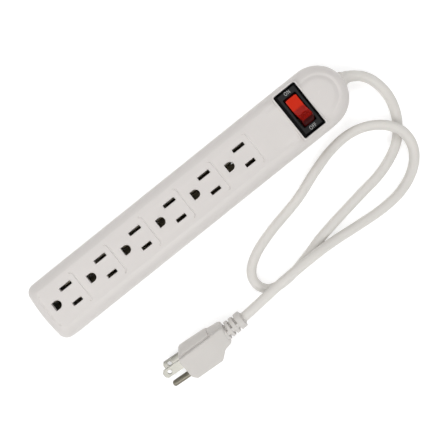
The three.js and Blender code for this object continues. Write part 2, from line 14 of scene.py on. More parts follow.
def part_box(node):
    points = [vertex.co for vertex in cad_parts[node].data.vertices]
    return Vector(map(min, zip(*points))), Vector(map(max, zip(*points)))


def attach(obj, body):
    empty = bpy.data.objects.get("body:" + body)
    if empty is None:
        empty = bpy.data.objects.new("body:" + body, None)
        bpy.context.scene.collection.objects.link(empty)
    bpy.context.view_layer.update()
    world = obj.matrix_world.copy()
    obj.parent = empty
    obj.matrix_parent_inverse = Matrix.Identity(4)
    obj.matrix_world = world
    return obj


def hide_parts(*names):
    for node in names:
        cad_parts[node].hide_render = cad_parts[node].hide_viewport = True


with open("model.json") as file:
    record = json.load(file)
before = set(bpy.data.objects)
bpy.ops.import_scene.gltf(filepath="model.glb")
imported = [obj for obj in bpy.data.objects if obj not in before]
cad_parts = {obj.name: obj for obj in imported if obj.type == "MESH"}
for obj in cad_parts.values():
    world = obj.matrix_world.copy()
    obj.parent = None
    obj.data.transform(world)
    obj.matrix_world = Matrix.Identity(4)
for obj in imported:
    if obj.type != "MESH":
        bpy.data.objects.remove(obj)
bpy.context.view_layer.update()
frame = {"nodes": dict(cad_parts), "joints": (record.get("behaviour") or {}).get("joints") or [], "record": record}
scene = bpy.context.scene
MM = 0.001


# ---------- sizes, in millimetres, most of them from the frame ----------
def span(node):
    """Lowest and highest corner of a CAD node, in millimetres."""
    low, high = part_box(node)
    return low / MM, high / MM


MOUNTS = {mount["name"]: mount for mount in frame["record"]["mounts"]}
JOINTS = {joint["name"]: joint for joint in frame["joints"]}


def mount_point(name):
    return Vector(MOUNTS[name]["pos_m"]) / MM


COVER_LOW, COVER_HIGH = span("top_cover")
HALF_WIDTH = COVER_HIGH.y
END_CENTRE_X = COVER_HIGH.x - HALF_WIDTH
PARTING_Z = COVER_LOW.z
TOP_Z = mount_point("socket_1_face").z
GAP = 0.3
WALL = 2.2
LEFT_CORNER = 6.5
LEFT_BOW = 0.9
TOP_INSET = 7.8
SHOULDER_BOTTOM = 17
SHOULDER_DRAFT = 0.1
SHOULDER_SLOPE = 0.325

SOCKET_X = [mount_point(f"socket_{i}_face").x for i in range(1, 7)]
BLADE_SPACING = 12.7
GROUND_OFFSET = 11.9
SLOT_WIDTH = 2.6
LINE_SLOT = 7.5
NEUTRAL_SLOT = 9.2
LIP = 0.35  # rounding at the mouth of every opening
GROOVE_OFFSET = 8.75  # from a socket's middle to the groove on its right
FIRST_GROOVE = 19.6  # from the first socket's middle to the groove on its left

SWITCH_LOW, SWITCH_HIGH = span("switch_housing")
SWITCH_X = (SWITCH_LOW.x + SWITCH_HIGH.x) / 2
BEZEL_LENGTH = SWITCH_HIGH.x - SWITCH_LOW.x
BEZEL_WIDTH = SWITCH_HIGH.y - SWITCH_LOW.y
BEZEL_TOP = SWITCH_HIGH.z
BEZEL_BOTTOM = BEZEL_TOP - 2.3
COLLAR_TOP = BEZEL_TOP - 0.8
COLLAR_RIM = 1.0
BODY_LENGTH = 14.4
BODY_WIDTH = 30.4
BODY_WALL = 1.1
OPENING_LENGTH = 10  # lengths run along X and widths along Y
OPENING_WIDTH = 22.4
PIVOT = Vector(JOINTS["rocker_tilt"]["pos_m"]) / MM
REST_TILT = math.radians(-JOINTS["rocker_tilt"]["range_deg"][1] / 2)
ROCKER_WIDTH = 8.5
ROCKER_REACH = 12.5  # from the pivot to the round skirt
ROCKER_TIP = Vector((9.18, 8.48))
ROCKER_VALLEY = 6.55
ON_EDGE = 8.3  # the ON pad stops short of the tip, at a slanted face
RIB_START = -7.9
RIB_SPACING = 0.8
RIB_RADIUS = 0.26

DOME_START = 58
DOME_RAMP = 25
DOME_HALF = 14.2
DOME_RISE = 2.0
DOME_FLANK = 4.4
DOME_END = 104.8

CORD_RADIUS = 3.5
SCREW_PLACES = [(x, y) for x in (-119, -3, 112) for y in (-14, 14)]
BOSS_RADIUS = 3.2
PILOT_RADIUS = 1.7
KEYHOLE_X = [-78, 38]
KEYHOLE_RADIUS = 4.3
KEYHOLE_REACH = 10.7
KEYHOLE_NECK = 4.4


# ---------- camera: straight above, looking down ----------
CAMERA_PLACE = Vector((4.4, -26.95, 350))
CAMERA_TURN = math.radians(-38.75)
camera = bpy.data.objects.new("camera", bpy.data.cameras.new("camera"))
camera.location = CAMERA_PLACE * MM
camera.rotation_euler = (0, 0, CAMERA_TURN)
camera.data.lens = 39.7
camera.data.sensor_width = 36
scene.collection.objects.link(camera)
scene.camera = camera


# ---------- materials ----------
class Tree:
    """A node tree, with short calls for the nodes used here."""

    def __init__(self, tree):
        self.tree = tree

    def put(self, value, socket):
        """Sets a socket to a value, or links it to another node's output."""
        if isinstance(value, bpy.types.NodeSocket):
            self.tree.links.new(value, socket)
        else:
            socket.default_value = value

    def node(self, kind, **inputs):
        made = self.tree.nodes.new(kind)
        for key, value in inputs.items():
            self.put(value, made.inputs[key.replace("_", " ")])
        return made

    def maths(self, operation, *values):
        made = self.tree.nodes.new("ShaderNodeMath")
        made.operation = operation
        for value, socket in zip(values, made.inputs):
            self.put(value, socket)
        return made.outputs["Value"]

    def ramp(self, value, low, high, start=0.0, end=1.0):
        """Goes from start to end while the value goes from low to high, and no further."""
        ends = {"From_Min": low, "From_Max": high, "To_Min": start, "To_Max": end}
        return self.node("ShaderNodeMapRange", Value=value, **ends).outputs["Result"]


class Finish(Tree):
    """The node tree of a new material."""

    def __init__(self, name):
        self.material = bpy.data.materials.new(name)
        self.material.use_nodes = True
        super().__init__(self.material.node_tree)
        self.surface = self.tree.nodes["Principled BSDF"]
        coordinates = self.tree.nodes.new("ShaderNodeTexCoord")
        self.place = coordinates.outputs["Object"]
        self.normal = coordinates.outputs["Normal"]

    def noise(self, size, detail=2.0, roughness=0.5):
        """Noise from 0 to 1 whose features are about size millimetres."""
        made = self.node("ShaderNodeTexNoise", Vector=self.place, Scale=1 / (size * MM), Detail=detail)
        made.inputs["Roughness"].default_value = roughness
        return made.outputs["Fac"]

    def spread(self, share, low, high):
        """A value from 0 to 1 spread from low to high."""
        return self.ramp(share, 0, 1, low, high)

    def mix(self, factor, first, second):
        made = self.tree.nodes.new("ShaderNodeMix")
        made.data_type = "RGBA"
        for index, value in ((0, factor), (6, first), (7, second)):
            self.put(value, made.inputs[index])
        return made.outputs[2]

    def bump(self, height, depth, normal=None):
        """Relief of the given depth in millimetres."""
        made = self.node("ShaderNodeBump", Height=height, Distance=depth * MM)
        if normal is not None:
            self.put(normal, made.inputs["Normal"])
        return made.outputs["Normal"]

    def set(self, **values):
        """Sets inputs of the surface, or links them to other nodes' outputs."""
        for key, value in values.items():
            self.put(value, self.surface.inputs[key.replace("_", " ")])

    def tint(self, factor, colour):
        """Blends the base colour towards another one."""
        base = self.surface.inputs["Base Color"].links[0].from_socket
        self.set(Base_Color=self.mix(factor, base, colour))

    def along(self, axis, vector=None):
        """One coordinate of a place on the piece, or of another vector."""
        return self.node("ShaderNodeSeparateXYZ", Vector=vector or self.place).outputs[axis]

    def facing(self, axis, low, high):
        """0 to 1 as the surface turns to face either way along an axis of its piece."""
        return self.ramp(self.maths("ABSOLUTE", self.along(axis, self.normal)), low, high)

    def away(self, axis, centre):
        """Distance from a plane across the axis, in metres."""
        return self.maths("ABSOLUTE", self.maths("SUBTRACT", self.along(axis), centre))


def shade(colour, factor):
    return (*(channel * factor for channel in colour[:3]), 1)


def moulded(name, colour, rough, grain=0.22, relief=0.004, mottle=0.03, edge_sheen=0.04):
    """Moulded plastic: a fine spark-eroded grain, faint clouding and a painted sheen that lightens the convex
    edges.
    """
    nodes = Finish(name)
    clouds = nodes.noise(17, 3)
    base = nodes.mix(clouds, shade(colour, 1 - mottle), shade(colour, 1 + mottle))
    # convex edges get a lighter base colour: painted sheen
    edge = nodes.ramp(nodes.node("ShaderNodeNewGeometry").outputs["Pointiness"], 0.52, 0.6)
    fine = nodes.noise(grain, 3, 0.6)
    swell = nodes.bump(nodes.noise(9, 1), relief * 2)
    nodes.set(
        Base_Color=nodes.mix(edge, base, shade(colour, 1 + edge_sheen)),
        Roughness=nodes.spread(nodes.noise(6, 2), rough - 0.05, rough + 0.05),
        Normal=nodes.bump(fine, relief, swell),
    )
    return nodes


def moulded_plastic(name, colour, rough):
    nodes = moulded(name, colour, rough)
    nodes.set(IOR=1.53, Specular_IOR_Level=0.2)
    return nodes.material


def soft_vinyl(name, colour, rough=0.5):
    """Flexible PVC: a waxy jacket with slow dents, extrusion streaks and a little light inside."""
    nodes = moulded(name, colour, rough, grain=0.35, relief=0.006, mottle=0.035, edge_sheen=0.02)
    nodes.set(IOR=1.5, Specular_IOR_Level=0.2, Subsurface_Weight=0.08, Subsurface_Scale=0.6 * MM)
    nodes.surface.inputs["Subsurface Radius"].default_value = (1, 0.9, 0.75)
    return nodes.material


def metal(name, colour, rough, streak=(0.15, 0.15, 3.0), tarnish=0.18):
    """Stamped or plated metal with fine drawn streaks and cloudy tarnish."""
    nodes = Finish(name)
    mapping = nodes.node("ShaderNodeMapping", Vector=nodes.place)
    mapping.inputs["Scale"].default_value = [1 / (size * MM) for size in streak]
    drawn = nodes.node("ShaderNodeTexNoise", Vector=mapping.outputs["Vector"], Scale=1.0, Detail=3.0)
    drawn = drawn.outputs["Fac"]
    clouds = nodes.noise(4, 4, 0.6)
    nodes.set(
        Base_Color=nodes.mix(clouds, shade(colour, 1 - tarnish), shade(colour, 1 + tarnish / 3)),
        Roughness=nodes.spread(nodes.mix(0.5, drawn, clouds), rough - 0.08, rough + 0.12),
        Normal=nodes.bump(drawn, 0.003),
        Metallic=1.0,
    )
    return nodes.material


def lit_red(name):
    """Translucent red with painted shade on its flanks and ends, and a painted glow over the ON half that stands
    in for the lamp under it.
    """
    nodes = moulded(name, (0.29, 0.007, 0.003), 0.22, relief=0.002, mottle=0.05, edge_sheen=0.1)
    painted_shade_red, lit, dark = (0.035, 0.001, 0.001, 1), (1, 0.08, 0.03, 1), (0, 0, 0, 1)
    # flanks and ends are painted deep red and get no glow: painted shade
    shaded_flanks, ends = nodes.facing("X", 0.3, 0.8), nodes.facing("Y", 0.42, 0.62)
    nodes.tint(shaded_flanks, painted_shade_red)
    nodes.tint(ends, painted_shade_red)
    # the ON half is given an emission rising along Y: painted glow from the lamp beneath
    nodes.set(
        Emission_Color=nodes.mix(ends, nodes.mix(shaded_flanks, lit, dark), dark),
        Emission_Strength=nodes.ramp(nodes.along("Y"), 0.8 * MM, 2.1 * MM, 0.0, 0.25),
        IOR=1.5,
        Specular_IOR_Level=0.1,
    )
    return nodes.material


def switch_black(name):
    """Black plastic, its flat top painted lighter than its bevels as a painted sheen."""
    nodes = moulded(name, (0.0005, 0.0005, 0.0005), 0.28, relief=0.0015, mottle=0.1, edge_sheen=0.6)
    # faces that look up are painted lighter: painted sheen
    nodes.tint(nodes.facing("Z", 0.93, 0.99), (0.024, 0.024, 0.0245, 1))
    nodes.set(IOR=1.5, Specular_IOR_Level=0.03)
    return nodes.material


def clear_glass(name):
    nodes = Finish(name)
    nodes.set(
        Base_Color=(1, 0.86, 0.72, 1),
        Transmission_Weight=0.9,
        IOR=1.47,
        Roughness=nodes.spread(nodes.noise(2, 2), 0.03, 0.1),
        Normal=nodes.bump(nodes.noise(1.2, 1), 0.004),
    )
    return nodes.material


def banded_resistor(name):
    """Lacquered body with four colour bands across its length, which lies along X."""
    nodes = Finish(name)
    low, high = span("lamp_resistor")
    colour = (0.42, 0.26, 0.14, 1)
    bands = ((0.38, (0.3, 0.08, 0.02, 1)), (0.46, (0.02, 0.02, 0.02, 1)),
             (0.54, (0.75, 0.32, 0.02, 1)), (0.64, (0.6, 0.45, 0.1, 1)))
    for share, band in bands:
        centre = (low.x + (high.x - low.x) * share) * MM
        outside = nodes.ramp(nodes.away("X", centre), 0.2 * MM, 0.24 * MM)
        colour = nodes.mix(outside, band, colour)
    nodes.set(
        Base_Color=colour,
        Roughness=nodes.spread(nodes.noise(1, 2), 0.3, 0.5),
        Normal=nodes.bump(nodes.noise(0.4, 2), 0.01),
    )
    return nodes.material


def label_film(name):
    """Blank silver film with a printed frame."""
    nodes = Finish(name)
    low, high = span("rating_label")
    centre, half = (low + high) / 2 * MM, (high - low) / 2 * MM
    from_end = nodes.maths("SUBTRACT", half.x, nodes.away("X", centre.x))
    from_side = nodes.maths("SUBTRACT", half.y, nodes.away("Y", centre.y))
    inside = nodes.maths("MINIMUM", from_end, from_side)
    start = nodes.ramp(inside, 1.0 * MM, 1.02 * MM)
    end = nodes.ramp(inside, 1.3 * MM, 1.32 * MM)
    film = nodes.mix(nodes.noise(9, 3), (0.5, 0.51, 0.52, 1), (0.58, 0.59, 0.6, 1))
    framed = nodes.mix(start, film, (0.03, 0.03, 0.035, 1))
    nodes.set(
        Base_Color=nodes.mix(end, framed, film),
        Roughness=nodes.spread(nodes.noise(3, 2), 0.3, 0.42),
        Normal=nodes.bump(nodes.noise(0.5, 2), 0.003),
        Metallic=0.5,
    )
    return nodes.material


PLASTIC = moulded_plastic("housing_plastic", (0.603, 0.575, 0.556), 0.4)
CORD_VINYL = soft_vinyl("cord_pvc", (0.615, 0.596, 0.566), 0.46)
PLUG_VINYL = soft_vinyl("plug_pvc", (0.545, 0.524, 0.5), 0.46)
BLACK = switch_black("switch_black")
RED = lit_red("rocker_red")
INK = moulded_plastic("switch_lettering", (0.4, 0.4, 0.39), 0.5)
BRASS = metal("contact_brass", (0.5, 0.45, 0.34), 0.5, tarnish=0.35)
NICKEL = metal("blade_nickel", (0.34, 0.333, 0.3), 0.36, streak=(3.0, 0.2, 0.2))
PIN_METAL = metal("pin_brass", (0.24, 0.225, 0.18), 0.38, streak=(3.0, 0.3, 0.3), tarnish=0.3)
STEEL = metal("screw_steel", (0.55, 0.55, 0.54), 0.32, streak=(0.3, 0.3, 0.3))
SPRING_STEEL = metal("spring_steel", (0.5, 0.5, 0.5), 0.25, streak=(0.5, 0.5, 0.5))
NYLON = moulded_plastic("plunger_nylon", (0.72, 0.7, 0.62), 0.45)
GLASS = clear_glass("lamp_glass")
RESISTOR = banded_resistor("resistor_body")
LEAD_BLACK = soft_vinyl("lead_black", (0.02, 0.02, 0.021), 0.42)
LEAD_WHITE = soft_vinyl("lead_white", (0.7, 0.69, 0.66), 0.45)
LEAD_GREEN = soft_vinyl("lead_green", (0.02, 0.24, 0.06), 0.42)
LABEL = label_film("label_film")


# ---------- the mains lead ----------
# It lies in loose loops on the surface; two stretches pass over an earlier one.
CORD_ROUTE = [
    (139.6, -4.0, 8.0), (143.3, -6.7, 6.6), (147.8, -12.8, 4.7), (150.3, -21.3, 3.6), (150.3, -30.4, 3.55),
    (148.1, -38.8, 3.55), (143.8, -47.2, 3.55), (134.9, -57.5, 3.55), (124.2, -63.6, 3.55),
    (110.5, -68.0, 3.55), (90.5, -70.8, 3.55), (53.1, -76.6, 3.55), (36.0, -81.0, 3.55), (20.5, -84.2, 3.55),
    (7.6, -84.6, 3.55), (0.4, -82.0, 3.55), (-3.7, -76.2, 3.55), (-3.8, -69.4, 3.55), (-0.6, -64.0, 3.55),
    (4.4, -60.0, 3.55), (12.5, -55.9, 3.55), (27.1, -51.5, 3.55), (56.0, -45.4, 3.55), (76.4, -38.4, 3.55),
    (94.2, -33.6, 4.1), (110.5, -32.5, 5.8), (123.2, -35.9, 8.4), (133.6, -43.6, 10.7), (139.2, -52.8, 11.1),
    (140.8, -62.6, 8.6), (138.2, -72.0, 5.6), (130.4, -80.2, 3.9), (116.8, -86.2, 3.55), (99.8, -88.1, 3.55),
    (78.7, -86.7, 3.8), (58.0, -84.1, 6.7), (41.0, -82.7, 10.4), (5.4, -83.3, 11.0), (-10.5, -84.5, 10.4),
    (-25.7, -85.6, 9.45),
]


def smooth_spline(curve, points):
    """One open spline through the points, shaped as a centripetal Catmull-Rom curve."""
    spline = curve.splines.new("BEZIER")
    spline.bezier_points.add(len(points) - 1)
    ends = [2 * points[0] - points[1], *points, 2 * points[-1] - points[-2]]
    for knot, before, here, after in zip(spline.bezier_points, ends, points, ends[2:]):
        to_here = math.sqrt((here - before).length)
        onward = math.sqrt((after - here).length)
        speed = (here - before) / to_here - (after - before) / (to_here + onward) + (after - here) / onward
        knot.handle_left_type = "FREE"
        knot.handle_right_type = "FREE"
        knot.co = here * MM
        knot.handle_left = (here - speed * to_here / 3) * MM
        knot.handle_right = (here + speed * onward / 3) * MM
    return spline


cord_curve = bpy.data.curves.new("mains_lead", "CURVE")
cord_curve.dimensions = "3D"
cord_curve.resolution_u = 16
cord_curve.bevel_depth = (CORD_RADIUS - 0.02) * MM
cord_curve.bevel_resolution = 8
cord_curve.use_fill_caps = True
cord_curve.materials.append(CORD_VINYL)
cord_spline = smooth_spline(cord_curve, [Vector(point) for point in CORD_ROUTE])
cord = bpy.data.objects.new("mains_lead", cord_curve)
scene.collection.objects.link(cord)


# ---------- making solids ----------
def arc(x, y, radius, start, end, steps):
    """Points on an arc, from start to end in degrees."""
    angles = [math.radians(start + (end - start) * i / steps) for i in range(steps + 1)]
    return [(x + radius * math.cos(angle), y + radius * math.sin(angle)) for angle in angles]


def circle(radius, sides=32, x=0):
    return arc(x, 0, radius, 0, 360, sides)[:-1]


def rounded_rectangle(x, y, length, width, corner, steps=6):
    right, high = x + length / 2 - corner, y + width / 2 - corner
    left, low = x - length / 2 + corner, y - width / 2 + corner
    return [
        *arc(right, low, corner, -90, 0, steps), *arc(right, high, corner, 0, 90, steps),
        *arc(left, high, corner, 90, 180, steps), *arc(left, low, corner, 180, 270, steps),
    ]


def plate(x, length, width, corner, steps=6):
    """A rounded rectangle centred on Y = 0, as an outline that shrinks with its inset."""
    return lambda inset: rounded_rectangle(x, 0, length - 2 * inset, width - 2 * inset, corner - inset, steps)


def rounded(z, radius, side, steps=5):
    """Stations (height, inset) of a rounded edge that ends at height z, above its wall (+1) or below (-1)."""
    angles = [math.pi / 2 * i / steps for i in range(steps + 1)]
    stations = [(z - side * radius * (1 - math.sin(a)), radius * (1 - math.cos(a))) for a in angles]
    return stations[::side]


def solid(mesh, name="solid"):
    """An object from a mesh drawn in millimetres, with its faces pointing out."""
    bmesh.ops.remove_doubles(mesh, verts=mesh.verts, dist=1e-4)
    bmesh.ops.recalc_face_normals(mesh, faces=mesh.faces)
    bmesh.ops.scale(mesh, vec=(MM, MM, MM), verts=mesh.verts)
    data = bpy.data.meshes.new(name)
    mesh.to_mesh(data)
    mesh.free()
    made = bpy.data.objects.new(name, data)
    scene.collection.objects.link(made)
    return made


def loft(rings):
    """A closed skin through rings of points that all have the same count."""
    mesh = bmesh.new()
    rows = [[mesh.verts.new(point) for point in ring] for ring in rings]
    for low, high in zip(rows, rows[1:]):
        for i in range(len(low)):
            mesh.faces.new((low[i - 1], low[i], high[i], high[i - 1]))
    mesh.faces.new(rows[0][::-1])
    mesh.faces.new(rows[-1])
    return solid(mesh)


def stack(outline, stations):
    """Outlines stood on each other: outline(inset) gives the points for each station (height, inset)."""
    return loft([[(x, y, z) for x, y in outline(inset)] for z, inset in stations])


def block(low, high):
    """A box, for cutting."""
    corners = [(low[0], low[1]), (high[0], low[1]), (high[0], high[1]), (low[0], high[1])]
    return loft([[(x, y, z) for x, y in corners] for z in (low[2], high[2])])


def lathe(stations, start, direction, sides=32):
    """A turned solid: stations (distance along the axis, radius) from start."""
    axis = Vector(direction).normalized()
    turn = axis.to_track_quat("Z", "Y")
    rings = []
    for distance, radius in stations:
        rings.append([Vector(start) + turn @ Vector((x, y, distance)) for x, y in circle(radius, sides)])
    return loft(rings)


def rod(radius, start, end, sides=32):
    length = (Vector(end) - Vector(start)).length
    return lathe([(0, radius), (length, radius)], start, Vector(end) - Vector(start), sides)


def apply_modifiers(obj):
    graph = bpy.context.evaluated_depsgraph_get()
    mesh = bpy.data.meshes.new_from_object(obj.evaluated_get(graph))
    obj.modifiers.clear()
    obj.data = mesh


def combine(obj, tools, operation="DIFFERENCE"):
    """Cuts the tools from obj, or joins them to it, and removes them."""
    for tool in tools:
        modifier = obj.modifiers.new("combine", "BOOLEAN")
        modifier.solver = "MANIFOLD"
        modifier.operation = operation
        modifier.object = tool
    apply_modifiers(obj)
    for tool in tools:
        bpy.data.objects.remove(tool)
    return obj


def soften(obj, width, angle=35):
    """Rounds every edge sharper than the angle."""
    modifier = obj.modifiers.new("edges", "BEVEL")
    modifier.width = width * MM
    modifier.segments = 3
    modifier.limit_method = "ANGLE"
    modifier.angle_limit = math.radians(angle)
    apply_modifiers(obj)
    return obj


SMOOTH_BELOW = math.radians(32)  # edges sharper than this stay sharp


def finish_piece(obj, name, material, nodes, body="housing"):
    """Names a piece, smooths it, gives it its material and lets it ride in place of its CAD nodes."""
    obj.name = name
    obj.data.name = name
    obj.data.materials.clear()
    obj.data.materials.append(material)
    obj.data.shade_smooth()
    obj.data.set_sharp_from_angle(angle=SMOOTH_BELOW)
    normals = obj.modifiers.new("normals", "WEIGHTED_NORMAL")
    normals.keep_sharp = True
    apply_modifiers(obj)
    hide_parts(*nodes)
    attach(obj, body)
    return obj


# ---------- the two covers ----------
def housing_outline(inset):
    half = HALF_WIDTH - inset
    corner = LEFT_CORNER - inset * 0.45
    left = COVER_LOW.x + inset
    corner_x = left + LEFT_BOW + corner
    bow = [0.75, 0.5, 0.25, 0, -0.25, -0.5, -0.75]
    return [
        *arc(END_CENTRE_X, 0, half, -90, 90, 72),
        *arc(corner_x, half - corner, corner, 90, 180, 12),
        *[(left + LEFT_BOW * t * t, t * (half - corner)) for t in bow],
        *arc(corner_x, corner - half, corner, 180, 270, 12),
    ]


def shoulder():
    """Stations of the shoulder: a straight slope added to a quarter of an ellipse."""
    steps = 22
    across = TOP_INSET - SHOULDER_DRAFT
    drop = TOP_Z - SHOULDER_BOTTOM - SHOULDER_SLOPE * across
    stations = []
    for i in range(steps + 1):
        angle = math.pi / 2 * (1 - i / steps)
        run = across * math.sin(angle)
        stations.append((TOP_Z - SHOULDER_SLOPE * run - drop * (1 - math.cos(angle)), TOP_INSET - run))
    return stations


def smoothstep(value):
    value = min(max(value, 0), 1)
    return value * value * (3 - 2 * value)


def dome():
    """The swelling that carries the switch: it rises out of the socket face and ends in a rounded rim."""
    sunk = 0.06  # keeps its edge just under the face, so that the two surfaces cross
    insets = [0, 0.2, 0.5, 0.8, 1.1, 1.4, 1.7, 2.0, 2.3, 2.7, 3.4, 4.6, 6.2, 8.2, 10.4, 12.4, DOME_HALF - 0.02]
    stations = [DOME_START + (DOME_END - DOME_START) * i / 30 for i in range(30)]

    def height(x, inset):
        crown = 1 - (1 - inset / DOME_HALF) ** 2
        flank = 0.68 * smoothstep(inset / DOME_FLANK) + 0.32 * crown
        return TOP_Z - sunk + (DOME_RISE + sunk) * flank * smoothstep((x - DOME_START) / DOME_RAMP)

    rings = []
    for inset in insets:
        half = DOME_HALF - inset
        line = [(x, -half) for x in stations]
        line += arc(DOME_END, 0, half, -90, 90, 40)
        line += [(x, half) for x in reversed(stations)]
        rings.append([(x, y, height(min(x, DOME_END), inset)) for x, y in line])
    base = [(x, y, TOP_Z - 1.5) for x, y, _ in rings[0]]
    return loft([base, *rings])


def ground_outline(x, inset):
    """A round hole with a flat on its left side."""
    radius, flat, corner = 3.05 - inset, inset - 2.9, 0.5
    return [
        *arc(x - 0.1, 0, radius, -90, 90, 20),
        *arc(x + flat + corner, radius - corner, corner, 90, 180, 4),
        *arc(x + flat + corner, corner - radius, corner, 180, 270, 4),
    ]


def flared(z, radius):
    """Stations of an opening that widens by the radius as it comes up to a face at height z."""
    return [*[(height, -inset) for height, inset in rounded(z, radius, 1)], (z + 3, -radius)]


def mouth(outline):
    """A cutter for an opening in the socket face, from the hollow below to the rounded lip."""
    return stack(outline, [(20, 0), *flared(TOP_Z, LIP)])


def socket_cutters():
    cutters = []
    for x in SOCKET_X:
        for y, length in ((BLADE_SPACING / 2, NEUTRAL_SLOT), (-BLADE_SPACING / 2, LINE_SLOT)):
            cutters.append(mouth(lambda inset, y=y, length=length: rounded_rectangle(
                x, y, length - 2 * inset, SLOT_WIDTH - 2 * inset, 0.4 - inset)))
        cutters.append(mouth(lambda inset: ground_outline(x - GROUND_OFFSET, inset)))
    return cutters


def sweep(path, radius):
    """A round bar along a level path, with round ends."""
    points = [Vector(point) for point in path]
    rings = []
    up = Vector((0, 0, 1))
    for i, point in enumerate(points):
        along = (points[min(i + 1, len(points) - 1)] - points[max(i - 1, 0)]).normalized()
        across = along.cross(up)
        stops = [(0, 1)]
        if i == 0:
            stops = [(-math.cos(a), math.sin(a)) for a in (0.25, 0.7, 1.15, math.pi / 2)]
        if i == len(points) - 1:
            stops = [(math.cos(a), math.sin(a)) for a in (math.pi / 2, 1.15, 0.7, 0.25)]
        for shift, share in stops:
            centre = point + along * radius * shift
            rings.append([centre + across * x + up * y for x, y in circle(radius * share, 16)])
    return loft(rings)


def groove(x, side):
    """A cutter for the shallow groove between two sockets, with its ends turned back."""
    radius, reach, straight, rise = 0.58, 1.9, 9.6, 0.16
    end = arc(-reach, straight, reach, 0, 75, 6)
    upper = [(x + side * px, py, TOP_Z + rise) for px, py in end]
    lower = [(px, -py, z) for px, py, z in reversed(upper)]
    return sweep([*lower, *upper], radius)


def lead_exit():
    """A cutter for the round hole in the right-hand end, half in each cover."""
    return rod(5, (118, 0, PARTING_Z), (134, 0, PARTING_Z), 48)


def top_cover():
    outer = [(PARTING_Z, 0.25), (PARTING_Z + 0.08, 0.08), (PARTING_Z + 0.25, 0), *shoulder()]
    cover = stack(housing_outline, outer)
    rim = 2 * (GAP + COLLAR_RIM)
    collar = stack(
        plate(SWITCH_X, BEZEL_LENGTH + rim, BEZEL_WIDTH + rim, 2),
        [(TOP_Z - 3.5, 0), *rounded(COLLAR_TOP, 0.4, 1)],
    )
    combine(cover, [dome(), collar], "UNION")
    hollow = stack(housing_outline, [
        (PARTING_Z - 1, 1.2), (PARTING_Z + 1.7, 1.2), (PARTING_Z + 1.71, WALL),
        (SHOULDER_BOTTOM - 0.5, WALL + 0.5), (20, 3.8), (22.6, 5.7), (TOP_Z - 2.4, 8.8),
    ])
    combine(cover, [hollow])
    bosses = [rod(BOSS_RADIUS, (x, y, 2.5), (x, y, TOP_Z - 4.2)) for x, y in SCREW_PLACES]
    combine(cover, bosses, "UNION")
    pocket = stack(
        plate(SWITCH_X, BEZEL_LENGTH + 2 * GAP, BEZEL_WIDTH + 2 * GAP, 1.2),
        [(BEZEL_BOTTOM - GAP, 0), *flared(COLLAR_TOP, 0.3)],
    )
    half = (BODY_LENGTH / 2 + GAP, BODY_WIDTH / 2 + GAP)
    well = block((SWITCH_X - half[0], -half[1], 12), (SWITCH_X + half[0], half[1], COLLAR_TOP + 2))
    pilots = [rod(PILOT_RADIUS, (x, y, 0), (x, y, 16), 16) for x, y in SCREW_PLACES]
    grooves = [groove(SOCKET_X[0] - FIRST_GROOVE, -1), *[groove(x + GROOVE_OFFSET, 1) for x in SOCKET_X]]
    combine(cover, [pocket, well, lead_exit(), *pilots, *socket_cutters(), *grooves])
    finish_piece(cover, "top_shell", PLASTIC, ["top_cover"])


def bottom_cover():
    edge = rounded(PARTING_Z - GAP, 0.25, 1, 3)
    cover = stack(housing_outline, [*rounded(0, 1.2, -1), *edge])
    tongue = stack(housing_outline, [(2, 1.5), (PARTING_Z + 1.4, 1.5)])
    combine(cover, [tongue], "UNION")
    combine(cover, [stack(housing_outline, [(2.2, WALL + 0.4), (PARTING_Z + 3, WALL + 0.1)])])
    through = [(-1, -0.3), (0, -0.3), (0.3, 0), (3.2, 0)]
    cutters = []
    for x in KEYHOLE_X:
        neck = plate(x + KEYHOLE_REACH / 2, KEYHOLE_REACH, KEYHOLE_NECK, 2.15, 8)
        cutters += [stack(lambda inset: circle(KEYHOLE_RADIUS - inset, 40, x), through), stack(neck, through)]
    for x, y in SCREW_PLACES:
        recess = [(-1, 3.8), (0, 3.8), (0.3, 3.5), (1.4, 3.5), (1.41, 1.8), (3.4, 1.8)]
        cutters.append(lathe(recess, (x, y, 0), (0, 0, 1)))
    low, high = span("rating_label")
    centre, size = (low + high) / 2, high - low
    panel = plate(centre.x, size.x + 1, size.y + 1, 2)
    cutters.append(stack(panel, [(-1, -0.1), (0, -0.1), (0.1, 0), (0.5, 0)]))
    cutters.append(lead_exit())
    combine(cover, cutters)
    finish_piece(cover, "bottom_shell", PLASTIC, ["bottom_cover"])


top_cover()
bottom_cover()


# ---------- screws ----------
def housing_screw(x, y, index):
    head = lathe([(0.3, 2.6), (0.42, 2.95), (0.6, 3.1), (1.1, 3.1)], (x, y, 0), (0, 0, 1), 40)
    shank = lathe([(1, 1.35), (12, 1.35), (13.5, 0.3)], (x, y, 0), (0, 0, 1), 20)
    combine(head, [shank], "UNION")
    turn = Matrix.Rotation(0.5 + 1.3 * index, 4, "Z")
    slots = []
    for length, width in ((3.4, 0.75), (0.75, 3.4)):
        slot = block((-length / 2, -width / 2, 0), (length / 2, width / 2, 0.75))
        slot.data.transform(Matrix.Translation(Vector((x, y, 0)) * MM) @ turn)
        slots.append(slot)
    combine(head, slots)
    finish_piece(head, f"cross_head_screw_{index}", STEEL, [f"housing_screw_{index}"])


for index, (x, y) in enumerate(SCREW_PLACES, 1):
    housing_screw(x, y, index)


